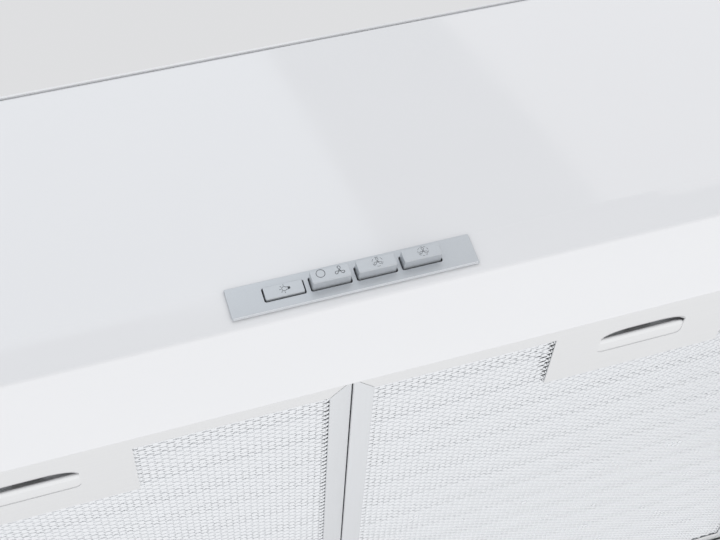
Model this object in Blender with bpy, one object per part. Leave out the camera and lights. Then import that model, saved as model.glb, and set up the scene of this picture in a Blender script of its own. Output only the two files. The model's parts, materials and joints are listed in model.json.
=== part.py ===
"""Under cabinet range hood, 600 mm wide: each piece is one closed mesh, in metres, +Z up.

The origin is the centre of the top face, which meets the cabinet. X runs across the hood and
+Y points back to the wall. Heights are often given above the hood's lowest face, with above().
"""

import math

import bmesh
import bpy
from mathutils import Matrix, Vector

MM = 0.001

# Driving dimensions
WIDTH = 600 * MM
DEPTH = 480 * MM
HEIGHT = 150 * MM
SHEET = 1.0 * MM
GAP = 0.3 * MM
LIP_HEIGHT = 18.8 * MM  # from the underside to the bend below the tall front
LIP_UNDERCUT = math.radians(4.0)
FRONT_LEAN = math.radians(2.5)
UNDERSIDE_DEPTH = 63.4 * MM  # the white strip of the underside, front and back
HEM = 2.3 * MM  # two layers of sheet with a gap
HEM_LENGTH = 6 * MM
RIM = 12 * MM  # the side panels' strip of the underside
FLANGE = 14 * MM

STRIP_WIDTH = 102 * MM
STRIP_HEIGHT = 14.3 * MM
STRIP_TOP = -0.6 * MM  # below the bend
STRIP_FACE = 1.3 * MM  # proud of the lip
BUTTON_PITCH = 18.87 * MM
BUTTON_SIZE = (15.9 * MM, 5.7 * MM)
BUTTON_MIDDLE = -7.15 * MM  # below the bend
BUTTON_FACE = 6.3 * MM  # proud of the lip, not pressed
BUTTON_TRAVEL = 4.0 * MM

LAMP_X = 225 * MM
LAMP_Y = -209 * MM
LAMP_RADIUS = 28 * MM

FILTER_LENGTH = 344 * MM
FILTER_DEPTH = 9 * MM
FILTER_LIFT = 2.3 * MM  # its face above the hood's underside
FILTER_SHEET = 0.8 * MM
FRONT_BAND = 10.8 * MM
SIDE_BAND = 10 * MM
TAB_WIDTH = 92 * MM
TAB_END = 48.9 * MM  # back from the underside's edge
SLOT = (44 * MM, 17 * MM)
SLOT_START = 15.6 * MM  # back from the underside's edge

FAN_CENTRE = (-120 * MM, -20 * MM)
WHEEL_RADIUS = 76 * MM
WHEEL_HEIGHT = 60 * MM
BLADES = 26
SCROLL_START = 84 * MM
SCROLL_END = 160 * MM
TONGUE_ANGLE = math.radians(35)
CHAMBER_RADIUS = 62 * MM
WALL = 2 * MM

COLLAR_Y = 140 * MM
COLLAR_RADIUS = 59.5 * MM
COLLAR_WALL = 1.5 * MM
COLLAR_RISE = 45 * MM
FLAP_LEVEL = 8 * MM  # the flaps' pin above the top face
FLAP_RADIUS = 56.5 * MM
PIN_RADIUS = 1.5 * MM

# Worked out from the driving dimensions
HALF = WIDTH / 2
FRONT = -DEPTH / 2
BACK = DEPTH / 2
TOP_SHEET = -SHEET - GAP  # the highest level of what lies under the top panel
LIP_EDGE = FRONT + LIP_HEIGHT * math.tan(LIP_UNDERCUT) + UNDERSIDE_DEPTH
FILTER_FRONT = LIP_EDGE + 0.5 * MM
FILTER_BACK = FILTER_FRONT + FILTER_LENGTH
REAR_EDGE = FILTER_BACK + 1 * MM
FILTER_INNER = 0.3 * MM
FILTER_OUTER = HALF - RIM - 0.6 * MM
LATCH_X = (FILTER_INNER + FILTER_OUTER) / 2
SLOT_FRONT = LIP_EDGE + SLOT_START
SLOT_BACK = SLOT_FRONT + SLOT[1]


def above(level):
    """The height of a level given above the hood's lowest face."""
    return level - HEIGHT


def front_y(z):
    """Where the front's outer face is at this height."""
    bend = above(LIP_HEIGHT)
    if z >= bend:
        return FRONT + (z - bend) * math.tan(FRONT_LEAN)
    return FRONT + (bend - z) * math.tan(LIP_UNDERCUT)


# Making meshes


def clear_scene():
    for obj in list(bpy.data.objects):
        bpy.data.objects.remove(obj)


def make_material(name, colour, roughness, metallic=0.0):
    material = bpy.data.materials.new(name)
    material.use_nodes = True
    shader = material.node_tree.nodes["Principled BSDF"]
    shader.inputs["Base Color"].default_value = (*colour, 1)
    shader.inputs["Roughness"].default_value = roughness
    shader.inputs["Metallic"].default_value = metallic
    material.diffuse_color = (*colour, 1)
    return material


def add_object(name, bm, material=None, parent=None):
    bmesh.ops.recalc_face_normals(bm, faces=bm.faces)
    mesh = bpy.data.meshes.new(name)
    bm.to_mesh(mesh)
    bm.free()
    if material:
        mesh.materials.append(material)
    obj = bpy.data.objects.new(name, mesh)
    bpy.context.collection.objects.link(obj)
    obj.parent = parent
    return obj


def shade_round(obj):
    """Smooth shading that stays crisp at the edges of a round piece."""
    obj.data.shade_smooth()
    obj.data.set_sharp_from_angle(angle=math.radians(40))
    return obj


def boolean(obj, operation, bm, name):
    """Cuts obj with, or joins to it, the shape in bm, which is kept as a hidden guide."""
    guide = add_object(f"{obj.name}_{name}", bm, parent=obj.parent)
    guide.hide_render = True
    guide.display_type = "WIRE"
    modifier = obj.modifiers.new(name, "BOOLEAN")
    modifier.operation = operation
    modifier.object = guide
    modifier.solver = "EXACT"


PLACES = {
    "X": lambda u, v, w: (w, u, v),
    "Y": lambda u, v, w: (u, w, v),
    "Z": lambda u, v, w: (u, v, w),
}


def prism(bm, outline, along, start, end):
    """A closed outline pushed out along an axis. Its points are YZ, XZ or XY pairs."""
    place = PLACES[along]
    first = [bm.verts.new(place(u, v, start)) for u, v in outline]
    last = [bm.verts.new(place(u, v, end)) for u, v in outline]
    bm.faces.new(first)
    bm.faces.new(reversed(last))
    for i in range(len(outline)):
        j = (i + 1) % len(outline)
        bm.faces.new((first[i], last[i], last[j], first[j]))


def box(bm, low, high):
    corners = [(low[0], low[1]), (high[0], low[1]), (high[0], high[1]), (low[0], high[1])]
    prism(bm, corners, "Z", low[2], high[2])


def arc(centre, radius, start, end, steps):
    """Points on an arc, with both ends. Angles are in radians."""
    angles = [start + (end - start) * i / steps for i in range(steps + 1)]
    return [(centre[0] + radius * math.cos(a), centre[1] + radius * math.sin(a)) for a in angles]


def rounded_rectangle(centre, width, height, radius, steps=4):
    points = []
    for turn, (sign_u, sign_v) in enumerate(((1, 1), (-1, 1), (-1, -1), (1, -1))):
        corner = (
            centre[0] + sign_u * (width / 2 - radius),
            centre[1] + sign_v * (height / 2 - radius),
        )
        points += arc(corner, radius, turn * math.pi / 2, (turn + 1) * math.pi / 2, steps)
    return points


def offset_path(points, distance, closed):
    """The path moved to its right by a distance, with mitred corners."""
    count = len(points)
    moved = []
    for i, point in enumerate(points):
        here = Vector(point)
        before = Vector(points[i - 1]) if closed or i > 0 else None
        after = Vector(points[(i + 1) % count]) if closed or i < count - 1 else None
        sides = []
        if before is not None:
            sides.append((here - before).normalized())
        if after is not None:
            sides.append((after - here).normalized())
        normals = [Vector((side.y, -side.x)) for side in sides]
        middle = sum(normals, Vector((0, 0))).normalized()
        moved.append(tuple(here + middle * distance / middle.dot(normals[0])))
    return moved


def bent_path(corners, radius, steps=4):
    """The path through these corners, each turned on an arc of this radius."""
    points = [Vector(corners[0])]
    for before, corner, after in zip(corners, corners[1:], corners[2:]):
        here = Vector(corner)
        to_before = (Vector(before) - here).normalized()
        to_after = (Vector(after) - here).normalized()
        half = to_before.angle(to_after) / 2
        centre = here + (to_before + to_after).normalized() * radius / math.sin(half)
        start = here + to_before * radius / math.tan(half) - centre
        turn = start.angle_signed(here + to_after * radius / math.tan(half) - centre)
        for i in range(steps + 1):
            point = centre + Matrix.Rotation(-turn * i / steps, 2) @ start
            if (point - points[-1]).length > 1e-6:
                points.append(point)
    points.append(Vector(corners[-1]))
    return [tuple(point) for point in points]


def sheet(bm, corners, along, start, end, bend=1.3 * MM, thickness=SHEET):
    """Folded sheet metal. The corners are on its outer face, and the metal is to the right."""
    outer = bent_path(corners, bend)
    inner = offset_path(outer, thickness, closed=False)
    prism(bm, outer + inner[::-1], along, start, end)


TURNS = {
    "Z": Matrix.Identity(3),
    "X": Matrix.Rotation(math.pi / 2, 3, "Y"),
    "Y": Matrix.Rotation(-math.pi / 2, 3, "X"),
}


def turned(bm, profile, centre=(0, 0, 0), axis="Z", steps=32):
    """A profile of (radius, height) points turned about an axis. One with a hole is a loop."""
    rings = []
    for radius, height in profile:
        if radius == 0:
            pole = bm.verts.new(TURNS[axis] @ Vector((0, 0, height)) + Vector(centre))
            rings.append([pole] * steps)
            continue
        flat = arc((0, 0), radius, 0, 2 * math.pi, steps)[:-1]
        rings.append(
            [bm.verts.new(TURNS[axis] @ Vector((u, v, height)) + Vector(centre)) for u, v in flat]
        )
    following = rings[1:] + (rings[:1] if profile[0][0] > 0 else [])
    for ring, other in zip(rings, following):
        for i in range(steps):
            j = (i + 1) % steps
            corners = list(dict.fromkeys((ring[i], ring[j], other[j], other[i])))
            bm.faces.new(corners)


def drum(bm, centre, radius, low, high, axis="Z", steps=32):
    turned(bm, [(0, low), (radius, low), (radius, high), (0, high)], centre, axis, steps)


def coil(bm, start, length, radius, wire, turns):
    """A compression spring along +Y from a point, with a round wire of five sides."""
    sides, steps = 5, 8 * turns
    rings = []
    for i in range(steps + 1):
        angle = 2 * math.pi * turns * i / steps
        outward = Vector((math.cos(angle), 0, math.sin(angle)))
        middle = Vector(start) + outward * radius + Vector((0, length * i / steps, 0))
        ring = []
        for side in range(sides):
            around = 2 * math.pi * side / sides
            ring.append(
                bm.verts.new(
                    middle
                    + outward * wire * math.cos(around)
                    + Vector((0, wire * math.sin(around), 0))
                )
            )
        rings.append(ring)
    bm.faces.new(rings[0])
    bm.faces.new(reversed(rings[-1]))
    for ring, other in zip(rings, rings[1:]):
        for i in range(sides):
            j = (i + 1) % sides
            bm.faces.new((ring[i], ring[j], other[j], other[i]))


def smooth_route(points, steps):
    """Points read from a Catmull-Rom curve through the route's own points."""
    route = [Vector(p) for p in points]
    route = [2 * route[0] - route[1], *route, 2 * route[-1] - route[-2]]
    curve = []
    for a, b, c, d in zip(route, route[1:], route[2:], route[3:]):
        for i in range(steps):
            t = i / steps
            curve.append(
                0.5
                * (
                    2 * b
                    + (c - a) * t
                    + (2 * a - 5 * b + 4 * c - d) * t * t
                    + (3 * b - a - 3 * c + d) * t * t * t
                )
            )
    return [*curve, route[-2]]


def cable(name, route, diameter, material):
    curve = bpy.data.curves.new(name, "CURVE")
    curve.dimensions = "3D"
    curve.bevel_depth = diameter / 2
    curve.bevel_resolution = 2
    curve.use_fill_caps = True
    points = smooth_route([(x * MM, y * MM, above(z * MM)) for x, y, z in route], 5)
    spline = curve.splines.new("POLY")
    spline.points.add(len(points) - 1)
    for place, point in zip(spline.points, points):
        place.co = (*point, 1)
    curve.materials.append(material)
    obj = bpy.data.objects.new(name, curve)
    bpy.context.collection.objects.link(obj)


# Canopy


def front_panel(material):
    """Tall front, lip and front of the underside, folded from one sheet."""
    bottom = above(0)
    corners = [
        (front_y(TOP_SHEET) + FLANGE, TOP_SHEET),
        (front_y(TOP_SHEET), TOP_SHEET),
        (FRONT, above(LIP_HEIGHT)),
        (front_y(bottom), bottom),
        (LIP_EDGE, bottom),
        (LIP_EDGE, bottom + HEM),
        (LIP_EDGE - HEM_LENGTH, bottom + HEM),
    ]
    bm = bmesh.new()
    sheet(bm, corners[::-1], "X", -HALF, HALF, bend=HEM / 2)
    obj = add_object("front_panel", bm, material)
    holes = bmesh.new()
    for side in (-1, 1):
        place = (side * LAMP_X, LAMP_Y, above(0))
        drum(holes, place, LAMP_RADIUS - 2 * MM, -5 * MM, 5 * MM, steps=32)
    middle = above(LIP_HEIGHT) + BUTTON_MIDDLE
    window = (39.3 * MM, 4.5 * MM)
    box(
        holes,
        (-window[0], FRONT - 3 * MM, middle - window[1]),
        (window[0], FRONT + 6 * MM, middle + window[1]),
    )
    boolean(obj, "DIFFERENCE", holes, "holes")


def back_panel(material):
    """Back wall and rear of the underside, folded from one sheet."""
    bottom = above(0)
    corners = [
        (BACK - FLANGE, TOP_SHEET),
        (BACK, TOP_SHEET),
        (BACK, bottom),
        (REAR_EDGE, bottom),
        (REAR_EDGE, bottom + HEM),
        (REAR_EDGE + HEM_LENGTH, bottom + HEM),
    ]
    bm = bmesh.new()
    sheet(bm, corners, "X", -HALF, HALF, bend=HEM / 2)
    add_object("back_panel", bm, material)


def side_panel(name, side, material):
    """Side wall with a top flange, a hemmed strip of the underside and two end flanges."""
    bottom = above(0)
    corners = [
        (side * (HALF - FLANGE), TOP_SHEET),
        (side * HALF, TOP_SHEET),
        (side * HALF, bottom),
        (side * (HALF - RIM), bottom),
        (side * (HALF - RIM), bottom + HEM),
        (side * (HALF - RIM + HEM_LENGTH), bottom + HEM),
    ]
    bm = bmesh.new()
    outline = corners if side > 0 else corners[::-1]
    sheet(bm, outline, "Y", FRONT - 2 * MM, BACK + 2 * MM, bend=HEM / 2)
    obj = add_object(name, bm, material)
    inset = SHEET + GAP
    under = bottom + HEM + GAP
    below_flange = TOP_SHEET - inset
    front = [
        (FRONT - 10 * MM, 5 * MM),
        (front_y(0) + FLANGE + GAP, 5 * MM),
        (front_y(0) + FLANGE + GAP, below_flange),
        (front_y(below_flange) + inset, below_flange),
        (FRONT + inset, above(LIP_HEIGHT)),
        (front_y(under) + inset, under),
        (LIP_EDGE + GAP, under),
        (LIP_EDGE + GAP, bottom - 5 * MM),
        (FRONT - 10 * MM, bottom - 5 * MM),
    ]
    rear = [
        (BACK + 10 * MM, 5 * MM),
        (BACK - FLANGE - GAP, 5 * MM),
        (BACK - FLANGE - GAP, below_flange),
        (BACK - inset, below_flange),
        (BACK - inset, under),
        (REAR_EDGE - GAP, under),
        (REAR_EDGE - GAP, bottom - 5 * MM),
        (BACK + 10 * MM, bottom - 5 * MM),
    ]
    cutters = bmesh.new()
    for outline in (front, rear):
        prism(cutters, outline, "X", side * (HALF - 40 * MM), side * (HALF + 5 * MM))
    boolean(obj, "DIFFERENCE", cutters, "ends")
    low, high = above(24 * MM), above(HEIGHT - 6 * MM)
    flanges = bmesh.new()
    inner, outer = side * (HALF - FLANGE), side * (HALF - SHEET / 2)
    slope = [(front_y(z) + inset, z) for z in (low, high)]
    slope += [(front_y(z) + inset + SHEET, z) for z in (high, low)]
    prism(flanges, slope, "X", inner, outer)
    wall = [(BACK - inset - SHEET, low), (BACK - inset, low)]
    wall += [(BACK - inset, high), (BACK - inset - SHEET, high)]
    prism(flanges, wall, "X", inner, outer)
    boolean(obj, "UNION", flanges, "flanges")


FIXING_X, FIXING_Y = 250 * MM, 190 * MM
GLAND = (220 * MM, 105 * MM)
GLAND_RADIUS = 8 * MM


def top_panel(material):
    bm = bmesh.new()
    box(bm, (-HALF, front_y(TOP_SHEET), -SHEET), (HALF, BACK, 0))
    obj = add_object("top_panel", bm, material)
    holes = bmesh.new()
    drum(holes, (0, COLLAR_Y, 0), COLLAR_RADIUS + GAP, -5 * MM, 5 * MM, steps=48)
    drum(holes, (*GLAND, 0), GLAND_RADIUS + GAP, -5 * MM, 5 * MM, steps=20)
    for side in (-1, 1):
        for end in (-1, 1):
            middle = (side * FIXING_X, end * FIXING_Y)
            slot = rounded_rectangle(middle, 16 * MM, 6 * MM, 3 * MM)
            prism(holes, slot, "Z", -5 * MM, 5 * MM)
    boolean(obj, "DIFFERENCE", holes, "holes")


def centre_bar(material):
    """Bridge over the joint of the two filters, standing on both ends of the underside."""
    foot, top = above(SHEET + GAP), above(FILTER_LIFT + FILTER_DEPTH + GAP)
    front, rear = LIP_EDGE - 10 * MM, REAR_EDGE + 10 * MM
    corners = [
        (front - 15 * MM, foot),
        (front, foot),
        (front, top),
        (rear, top),
        (rear, foot),
        (rear + 15 * MM, foot),
    ]
    bm = bmesh.new()
    sheet(bm, corners[::-1], "X", -10 * MM, 10 * MM, bend=1.5 * MM)
    add_object("filter_centre_bar", bm, material)


# Controls: built around the lip's own plane, with +Y into the hood and Z up the lip


def control_strip(material, lip):
    bm = bmesh.new()
    low = STRIP_TOP - STRIP_HEIGHT
    box(bm, (-STRIP_WIDTH / 2, -STRIP_FACE, low), (STRIP_WIDTH / 2, -GAP, STRIP_TOP))
    obj = add_object("control_strip", bm, material, lip)
    windows = bmesh.new()
    half = (BUTTON_SIZE[0] / 2 + GAP, BUTTON_SIZE[1] / 2 + GAP)
    for place in range(4):
        x = (place - 1.5) * BUTTON_PITCH
        box(
            windows,
            (x - half[0], -5 * MM, BUTTON_MIDDLE - half[1]),
            (x + half[0], 5 * MM, BUTTON_MIDDLE + half[1]),
        )
    boolean(obj, "DIFFERENCE", windows, "windows")


CAP_BACK = 7 * MM  # from the lip's face to the back of a cap that isn't pressed
CHANNEL_END = 15 * MM
HOUSING_END = 17 * MM
STEM_END = 15.5 * MM
STEM_RADIUS = 1.2 * MM


def switch_housing(material, lip):
    half = (39 * MM, 4.2 * MM)
    bm = bmesh.new()
    box(bm, (-half[0], 0, BUTTON_MIDDLE - half[1]), (half[0], HOUSING_END, BUTTON_MIDDLE + half[1]))
    obj = add_object("switch_housing", bm, material, lip)
    channels = bmesh.new()
    cap = (BUTTON_SIZE[0] / 2 + GAP, BUTTON_SIZE[1] / 2 + GAP)
    for place in range(4):
        x = (place - 1.5) * BUTTON_PITCH
        box(
            channels,
            (x - cap[0], -1 * MM, BUTTON_MIDDLE - cap[1]),
            (x + cap[0], CHANNEL_END, BUTTON_MIDDLE + cap[1]),
        )
    boolean(obj, "DIFFERENCE", channels, "channels")
    stems = bmesh.new()
    for place in range(4):
        centre = ((place - 1.5) * BUTTON_PITCH, 0, BUTTON_MIDDLE)
        drum(stems, centre, STEM_RADIUS + GAP, 10 * MM, 25 * MM, "Y", 12)
    boolean(obj, "DIFFERENCE", stems, "stem_holes")


def switch_board(material, lip):
    start = HOUSING_END + 3 * MM
    bm = bmesh.new()
    box(
        bm,
        (-38 * MM, start, BUTTON_MIDDLE - 5 * MM),
        (38 * MM, start + 1.6 * MM, BUTTON_MIDDLE + 5 * MM),
    )
    add_object("switch_board", bm, material, lip)


def button(name, place, pressed, material, spring_material, lip):
    """A cap on a stem, and the spring between the cap and the end of its channel."""
    push = BUTTON_TRAVEL if pressed else 0
    slide = bpy.data.objects.new(f"{name}_slide", None)
    bpy.context.collection.objects.link(slide)
    slide.parent = lip
    slide.location = ((place - 1.5) * BUTTON_PITCH, push, BUTTON_MIDDLE)
    bm = bmesh.new()
    face = rounded_rectangle((0, 0), *BUTTON_SIZE, 0.5 * MM, 2)
    prism(bm, face, "Y", -BUTTON_FACE, CAP_BACK)
    obj = add_object(name, bm, material, slide)
    stem = bmesh.new()
    drum(stem, (0, 0, 0), STEM_RADIUS, CAP_BACK - 1 * MM, STEM_END, "Y", 12)
    boolean(obj, "UNION", stem, "stem")
    bm = bmesh.new()
    wire, radius = 0.25 * MM, 2 * MM
    start = CAP_BACK + wire + GAP
    length = CHANNEL_END - push - start - wire - GAP
    coil(bm, (0, start, 0), length, radius, wire, 3)
    add_object(name.replace("button_", "button_spring_"), bm, spring_material, slide)


# Lamps


def lamp(side, bezel_material, lens_material, body_material):
    name = "left" if side < 0 else "right"
    centre = (side * LAMP_X, LAMP_Y, above(0))
    bezel = [
        (LAMP_RADIUS, -0.3 * MM),
        (LAMP_RADIUS - 1.2 * MM, -1.8 * MM),
        (22 * MM, -1.8 * MM),
        (21 * MM, -0.8 * MM),
        (21 * MM, 9 * MM),
        (LAMP_RADIUS - 2.4 * MM, 9 * MM),
        (LAMP_RADIUS - 2.4 * MM, -0.3 * MM),
    ]
    bm = bmesh.new()
    turned(bm, bezel, centre, steps=32)
    shade_round(add_object(f"lamp_bezel_{name}", bm, bezel_material))
    bm = bmesh.new()
    drum(bm, centre, 20.7 * MM, -0.6 * MM, 1.4 * MM, steps=32)
    shade_round(add_object(f"lamp_lens_{name}", bm, lens_material))
    body = [(0, 1.7 * MM), (20.7 * MM, 1.7 * MM), (20.7 * MM, 14 * MM)]
    body += [(15 * MM, 18 * MM), (15 * MM, 24 * MM), (0, 24 * MM)]
    bm = bmesh.new()
    turned(bm, body, centre, steps=32)
    shade_round(add_object(f"lamp_body_{name}", bm, body_material))


# Filters: made for the right side, and mirrored in X for the left


def mirrored(bm, side):
    if side < 0:
        bmesh.ops.scale(bm, vec=(-1, 1, 1), verts=bm.verts)
    return bm


NOTCH_HALF = 36 * MM  # the room in the filter pack for the latch
NOTCH_BACK = SLOT_BACK + 13.2 * MM
NECK_HALF = 6 * MM
NECK = (FILTER_LIFT + 3.7 * MM, FILTER_LIFT + 4.7 * MM)
LATCH_LIP = SLOT_FRONT + 6.2 * MM
LATCH_PLATE = 15.6 * MM  # how far the slide reaches back from its lip


def pack_outline(inset):
    """The filter pack's outline with the latch's notch in its front edge."""
    left, right = FILTER_INNER + inset, FILTER_OUTER - inset
    front, back = FILTER_FRONT + inset, FILTER_BACK - inset
    return [
        (left, front),
        (LATCH_X - NOTCH_HALF, front),
        (LATCH_X - NOTCH_HALF, NOTCH_BACK),
        (LATCH_X + NOTCH_HALF, NOTCH_BACK),
        (LATCH_X + NOTCH_HALF, front),
        (right, front),
        (right, back),
        (left, back),
    ]


def filter_frame(side, name, material):
    """A channel around the pack, with the latch tab on its lower lip and two rear tongues."""
    low, high = above(FILTER_LIFT), above(FILTER_LIFT + FILTER_DEPTH)
    bm = bmesh.new()
    box(bm, (FILTER_INNER, FILTER_FRONT, low), (FILTER_OUTER, FILTER_BACK, high))
    obj = add_object(f"filter_frame_{name}", mirrored(bm, side), material)
    cavity = bmesh.new()
    wall = 1 * MM
    box(
        cavity,
        (FILTER_INNER + wall, FILTER_FRONT + wall, low + FILTER_SHEET),
        (FILTER_OUTER - wall, FILTER_BACK - wall, high - FILTER_SHEET),
    )
    boolean(obj, "DIFFERENCE", mirrored(cavity, side), "cavity")
    left, right = FILTER_INNER + SIDE_BAND, FILTER_OUTER - SIDE_BAND
    front, back = FILTER_FRONT + FRONT_BAND, FILTER_BACK - SIDE_BAND
    tab_end = LIP_EDGE + TAB_END
    opening = [
        (left, front),
        (LATCH_X - TAB_WIDTH / 2, front),
        (LATCH_X - TAB_WIDTH / 2, tab_end),
        (LATCH_X + TAB_WIDTH / 2, tab_end),
        (LATCH_X + TAB_WIDTH / 2, front),
        (right, front),
        (right, back),
        (left, back),
    ]
    cutters = bmesh.new()
    prism(cutters, opening, "Z", low - 2 * MM, low + 2 * MM)
    box(cutters, (left, front, high - 2 * MM), (right, back, high + 2 * MM))
    middle = (LATCH_X, (SLOT_FRONT + SLOT_BACK) / 2)
    prism(cutters, rounded_rectangle(middle, *SLOT, 3 * MM), "Z", low - 2 * MM, low + 2 * MM)
    room = 0.6 * MM
    box(
        cutters,
        (LATCH_X - NECK_HALF - room, FILTER_FRONT - 2 * MM, above(NECK[0] - room)),
        (LATCH_X + NECK_HALF + room, FILTER_FRONT + 2 * MM, above(NECK[1] + room)),
    )
    boolean(obj, "DIFFERENCE", mirrored(cutters, side), "openings")
    tongues = bmesh.new()
    for x in (60 * MM, FILTER_OUTER - 60 * MM):
        box(
            tongues,
            (x - 10 * MM, FILTER_BACK - wall / 2, above(HEM + 0.6 * MM)),
            (x + 10 * MM, FILTER_BACK + 7 * MM, above(HEM + 1.8 * MM)),
        )
    boolean(obj, "UNION", mirrored(tongues, side), "tongues")


def filter_pack(side, name, mesh_material):
    """Outer mesh, folded grease layers and back mesh, all held in the frame's channel."""
    inset = 1.3 * MM
    start = FILTER_LIFT + FILTER_SHEET + GAP
    thin = 0.6 * MM
    bm = bmesh.new()
    prism(bm, pack_outline(inset), "Z", above(start), above(start + thin))
    add_object(f"filter_mesh_{name}", mirrored(bm, side), mesh_material)
    bm = bmesh.new()
    end = FILTER_LIFT + FILTER_DEPTH - FILTER_SHEET - GAP
    box(
        bm,
        (FILTER_INNER + inset, FILTER_FRONT + inset, above(end - thin)),
        (FILTER_OUTER - inset, FILTER_BACK - inset, above(end)),
    )
    add_object(f"filter_back_mesh_{name}", mirrored(bm, side), mesh_material)
    low, high = above(start + thin + GAP), above(end - thin - 2 * GAP)
    folds = 30
    front, back = FILTER_FRONT + inset, FILTER_BACK - inset
    pitch = (back - front) / folds
    ridge = [(front + i * pitch, high if i % 2 else low) for i in range(folds + 1)]
    foil = 0.4 * MM
    outline = [*ridge, *[(y, z + foil) for y, z in reversed(ridge)]]
    bm = bmesh.new()
    prism(bm, outline, "X", FILTER_INNER + inset, FILTER_OUTER - inset)
    obj = add_object(f"filter_layers_{name}", mirrored(bm, side), mesh_material)
    notch = bmesh.new()
    box(
        notch,
        (LATCH_X - NOTCH_HALF, front - 5 * MM, low - 5 * MM),
        (LATCH_X + NOTCH_HALF, NOTCH_BACK, high + 5 * MM),
    )
    boolean(obj, "DIFFERENCE", mirrored(notch, side), "notch")


def latch(side, name, slide_material, housing_material, spring_material):
    """Slide with its finger lip and bolt, in a housing open to the slot."""
    plate = FILTER_LIFT + FILTER_SHEET + GAP
    half = 30 * MM
    lip_top = NECK[1]
    slide = [
        (LATCH_LIP + LATCH_PLATE, above(plate)),
        (LATCH_LIP + LATCH_PLATE, above(plate + 1 * MM)),
        (LATCH_LIP + 1 * MM, above(plate + 1 * MM)),
        (LATCH_LIP + 1 * MM, above(lip_top)),
        (FILTER_FRONT - 0.1 * MM, above(lip_top)),
        (FILTER_FRONT - 0.1 * MM, above(NECK[0])),
        (LATCH_LIP, above(NECK[0])),
        (LATCH_LIP, above(plate)),
    ]
    bm = bmesh.new()
    prism(bm, slide, "X", LATCH_X - half, LATCH_X + half)
    obj = add_object(f"latch_slide_{name}", mirrored(bm, side), slide_material)
    sides = bmesh.new()
    for edge in (-1, 1):
        near, far = LATCH_X + edge * NECK_HALF, LATCH_X + edge * (half + 2 * MM)
        box(
            sides,
            (min(near, far), FILTER_FRONT - 5 * MM, above(0)),
            (max(near, far), LATCH_LIP, above(20 * MM)),
        )
    boolean(obj, "DIFFERENCE", mirrored(sides, side), "neck_sides")

    outer = 33 * MM
    wall = 0.8 * MM
    front, back = SLOT_FRONT - 3.4 * MM, LATCH_LIP + LATCH_PLATE + 5.6 * MM
    top = plate + 5.6 * MM
    bm = bmesh.new()
    box(bm, (LATCH_X - outer, front, above(plate)), (LATCH_X + outer, back, above(top)))
    obj = add_object(f"latch_housing_{name}", mirrored(bm, side), housing_material)
    inside = bmesh.new()
    box(
        inside,
        (LATCH_X - outer + wall, front + wall, above(plate - 2 * MM)),
        (LATCH_X + outer - wall, back - wall, above(top - wall)),
    )
    boolean(obj, "DIFFERENCE", mirrored(inside, side), "inside")
    passage = bmesh.new()
    room = 0.6 * MM
    box(
        passage,
        (LATCH_X - NECK_HALF - room, front - 2 * MM, above(plate - 2 * MM)),
        (LATCH_X + NECK_HALF + room, front + 2 * MM, above(NECK[1] + room)),
    )
    boolean(obj, "DIFFERENCE", mirrored(passage, side), "passage")

    wire, radius = 0.25 * MM, 1.2 * MM
    start = LATCH_LIP + 1 * MM + GAP + wire
    length = back - wall - GAP - wire - start
    bm = bmesh.new()
    coil(bm, (LATCH_X, start, above(plate + 3 * MM)), length, radius, wire, 4)
    add_object(f"latch_spring_{name}", mirrored(bm, side), spring_material)


# Fan unit

CASING_LOW, CASING_HIGH = 75.3 * MM, 147.4 * MM
WHEEL_LOW = 82 * MM
WHEEL_TOP = WHEEL_LOW + WHEEL_HEIGHT
INLET_RADIUS = 58 * MM
SHAFT_RADIUS = 4 * MM
CUP_RADIUS = 48 * MM
CUP_FLOOR = 98 * MM


def scroll_outline():
    """Inner face of the scroll: a spiral, the outlet channel and the chamber under the collar."""
    steps = 30
    spiral = []
    for i in range(steps + 1):
        share = i / steps
        angle = TONGUE_ANGLE + (2 * math.pi - TONGUE_ANGLE) * share
        radius = SCROLL_START + (SCROLL_END - SCROLL_START) * share
        spiral.append(
            (
                FAN_CENTRE[0] + radius * math.cos(angle),
                FAN_CENTRE[1] + radius * math.sin(angle),
            )
        )
    wide = math.radians(20)
    chamber = arc((0, COLLAR_Y), CHAMBER_RADIUS, -wide, math.pi + wide, 20)
    return [*spiral, (spiral[-1][0], 70 * MM), *chamber]


def blower_casing(material):
    inner = scroll_outline()
    outer = offset_path(inner, WALL, closed=True)
    bm = bmesh.new()
    prism(bm, outer, "Z", above(CASING_LOW), above(CASING_HIGH))
    obj = add_object("blower_casing", bm, material)
    hollow = bmesh.new()
    prism(hollow, inner, "Z", above(CASING_LOW - 5 * MM), above(CASING_HIGH) - WALL)
    boolean(obj, "DIFFERENCE", hollow, "hollow")
    outlet = bmesh.new()
    level = (0, COLLAR_Y, above(CASING_HIGH))
    drum(outlet, level, COLLAR_RADIUS + GAP, -8 * MM, 8 * MM, steps=48)
    boolean(obj, "DIFFERENCE", outlet, "outlet")


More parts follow.
